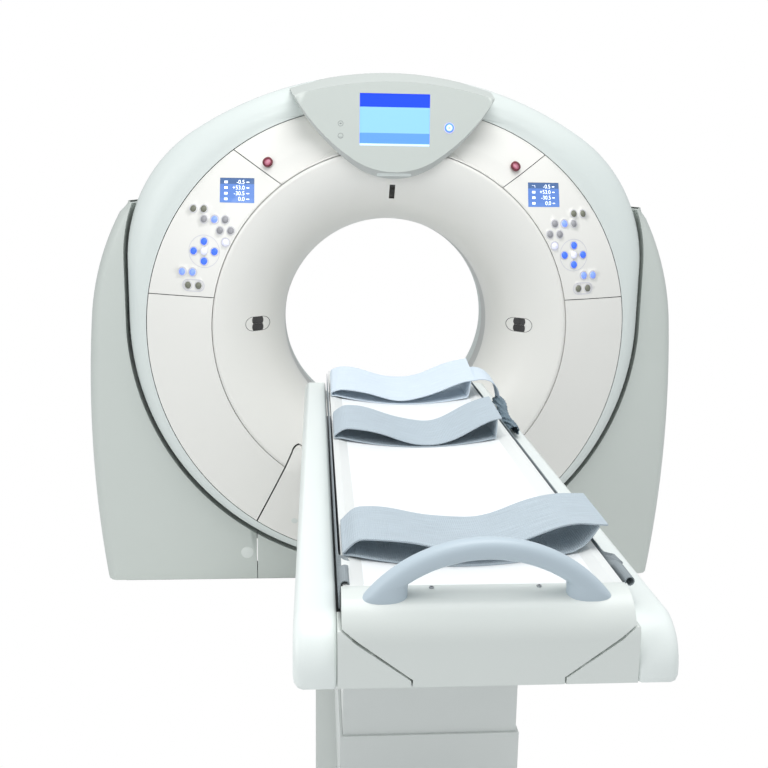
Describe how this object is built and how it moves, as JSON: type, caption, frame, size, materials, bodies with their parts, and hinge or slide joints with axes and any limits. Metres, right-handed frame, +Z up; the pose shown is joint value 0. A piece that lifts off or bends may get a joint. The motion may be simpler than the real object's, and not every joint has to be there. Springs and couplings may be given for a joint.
{
  "type": "ct scanner",
  "caption": "Tilting ring gantry with a wide bore on a floor stand, and a patient couch that lifts, slides into the bore and carries a mat, straps and a grab handle.",
  "frame": {"origin": "on the floor under the isocentre, at the centre of the gantry anchors", "axes": "+X to the right seen from the couch, +Y through the bore away from the couch, +Z up; the scan plane is y = 0"},
  "size_m": [2.2718, 3.012, 1.942],
  "materials": {
    "fascia": "satin moulded cover, warm off-white",
    "cover": "satin moulded cover, light grey-green",
    "bore": "smooth grey ring",
    "steel_frame": "grey powder coat",
    "cast_column": "grey powder coat",
    "bearing": "ground bearing steel",
    "alloy": "machined",
    "motor": "dark enamel",
    "slip": "turned",
    "screen": "lit display behind clear glass",
    "small_screen": "grey-blue display",
    "window": "dark laser window",
    "key": "blue key cap",
    "stop": "red mushroom button",
    "power": "lit blue key",
    "couch_cover": "satin moulded cover, near-white with a faint green",
    "cap_cover": "satin moulded cover",
    "couch_steel": "grey powder coat",
    "shroud": "off-white powder coat",
    "top": "carbon-fibre shell with a light finish",
    "mat": "white wipe-clean vinyl",
    "handle": "pale blue-grey",
    "strap": "slate-blue-grey webbing",
    "far_strap": "light blue webbing"
  },
  "bodies": {
    "stand": {"gantry_base_frame": "steel_frame", "side_columns": "cast_column", "trunnion_bearings": "bearing", "right_side_cover": "cover", "left_side_cover": "cover", "lower_front_cover": "cover", "lower_rear_cover": "cover", "tilt_gearmotor": "motor", "couch_base": "shroud", "floor_duct": "shroud", "lift_column_outer": "alloy"},
    "gantry": {"tilt_frame": "steel_frame", "inner_fascia": "fascia", "upper_fascia": "fascia", "lower_fascia": "fascia", "right_control_panel": "fascia", "left_control_panel": "fascia", "lower_access_panel": "fascia", "rim_shell": "cover", "rear_fascia": "cover", "bore_liner": "bore", "display_housing": "fascia", "display_screen": "screen", "laser_windows": "window", "panel_screens": "small_screen", "bearing_outer_race": "bearing"},
    "rotor": {"rotor_drum": "alloy", "bearing_inner_race": "bearing", "xray_tube": "couch_steel", "collimator": "alloy", "detector": "couch_steel", "hv_generator": "alloy", "slip_ring": "slip"},
    "lift_stage": {"mid_shroud": "shroud", "lift_column_middle": "alloy"},
    "couch_body": {"upper_shroud": "shroud", "lift_column_inner": "alloy", "couch_frame": "couch_steel", "right_side_panel": "couch_cover", "left_side_panel": "couch_cover", "corner_covers": "cap_cover"},
    "carriage": {"carriage": "alloy"},
    "couch_top": {"couch_top": "top", "mat": "mat", "foot_cap": "cap_cover", "grab_handle": "handle", "near_strap": "strap", "middle_strap": "strap", "far_strap": "far_strap"},
    "left_down_key": {"left_down_key": "key"},
    "left_inner_key": {"left_inner_key": "key"},
    "left_outer_key": {"left_outer_key": "key"},
    "left_stop_button": {"left_stop_button": "stop"},
    "left_up_key": {"left_up_key": "key"},
    "power_key": {"power_key": "power"},
    "right_down_key": {"right_down_key": "key"},
    "right_inner_key": {"right_inner_key": "key"},
    "right_outer_key": {"right_outer_key": "key"},
    "right_stop_button": {"right_stop_button": "stop"},
    "right_up_key": {"right_up_key": "key"}
  },
  "joints": [
    {"name": "gantry_tilt", "type": "hinge", "parent": "stand", "child": "gantry", "pos_m": [0, 0, 1.031], "axis": [-1, 0, 0], "range_deg": [-30, 30]},
    {"name": "couch_lift", "type": "slide", "parent": "stand", "child": "couch_body", "axis": [0, 0, 1], "range_m": [-0.455, 0.035]},
    {"name": "lift_middle", "type": "slide", "parent": "stand", "child": "lift_stage", "axis": [0, 0, 1], "range_m": [-0.2275, 0.0175]},
    {"name": "carriage_slide", "type": "slide", "parent": "couch_body", "child": "carriage", "axis": [0, 1, 0], "range_m": [0, 0.875]},
    {"name": "couch_top_slide", "type": "slide", "parent": "carriage", "child": "couch_top", "axis": [0, 1, 0], "range_m": [0, 0.875]},
    {"name": "rotor_spin", "type": "hinge", "parent": "gantry", "child": "rotor", "pos_m": [0, 0, 1.031], "axis": [0, 1, 0], "continuous": true},
    {"name": "right_stop_press", "type": "slide", "parent": "gantry", "child": "right_stop_button", "axis": [-0.3083, 0.8356, -0.4546], "range_m": [0, 0.005], "stiffness_N_per_m": 1500},
    {"name": "left_stop_press", "type": "slide", "parent": "gantry", "child": "left_stop_button", "axis": [0.3083, 0.8356, -0.4546], "range_m": [0, 0.005], "stiffness_N_per_m": 1500},
    {"name": "power_press", "type": "slide", "parent": "gantry", "child": "power_key", "axis": [0, 0.9968, -0.0795], "range_m": [0, 0.002], "stiffness_N_per_m": 1500},
    {"name": "right_up_press", "type": "slide", "parent": "gantry", "child": "right_up_key", "axis": [-0.4336, 0.8752, -0.2147], "range_m": [0, 0.002], "stiffness_N_per_m": 1500},
    {"name": "right_down_press", "type": "slide", "parent": "gantry", "child": "right_down_key", "axis": [-0.3834, 0.9112, -0.1508], "range_m": [0, 0.002], "stiffness_N_per_m": 1500},
    {"name": "right_inner_press", "type": "slide", "parent": "gantry", "child": "right_inner_key", "axis": [-0.3765, 0.908, -0.1839], "range_m": [0, 0.002], "stiffness_N_per_m": 1500},
    {"name": "right_outer_press", "type": "slide", "parent": "gantry", "child": "right_outer_key", "axis": [-0.4407, 0.8781, -0.1862], "range_m": [0, 0.002], "stiffness_N_per_m": 1500},
    {"name": "left_up_press", "type": "slide", "parent": "gantry", "child": "left_up_key", "axis": [0.4336, 0.8752, -0.2147], "range_m": [0, 0.002], "stiffness_N_per_m": 1500},
    {"name": "left_down_press", "type": "slide", "parent": "gantry", "child": "left_down_key", "axis": [0.3834, 0.9112, -0.1508], "range_m": [0, 0.002], "stiffness_N_per_m": 1500},
    {"name": "left_inner_press", "type": "slide", "parent": "gantry", "child": "left_inner_key", "axis": [0.3765, 0.908, -0.1839], "range_m": [0, 0.002], "stiffness_N_per_m": 1500},
    {"name": "left_outer_press", "type": "slide", "parent": "gantry", "child": "left_outer_key", "axis": [0.4407, 0.8781, -0.1862], "range_m": [0, 0.002], "stiffness_N_per_m": 1500}
  ],
  "couplings": [
    {"joint": "lift_middle", "follows": "couch_lift", "ratio": 0.5},
    {"joint": "couch_top_slide", "follows": "carriage_slide", "ratio": 1}
  ]
}
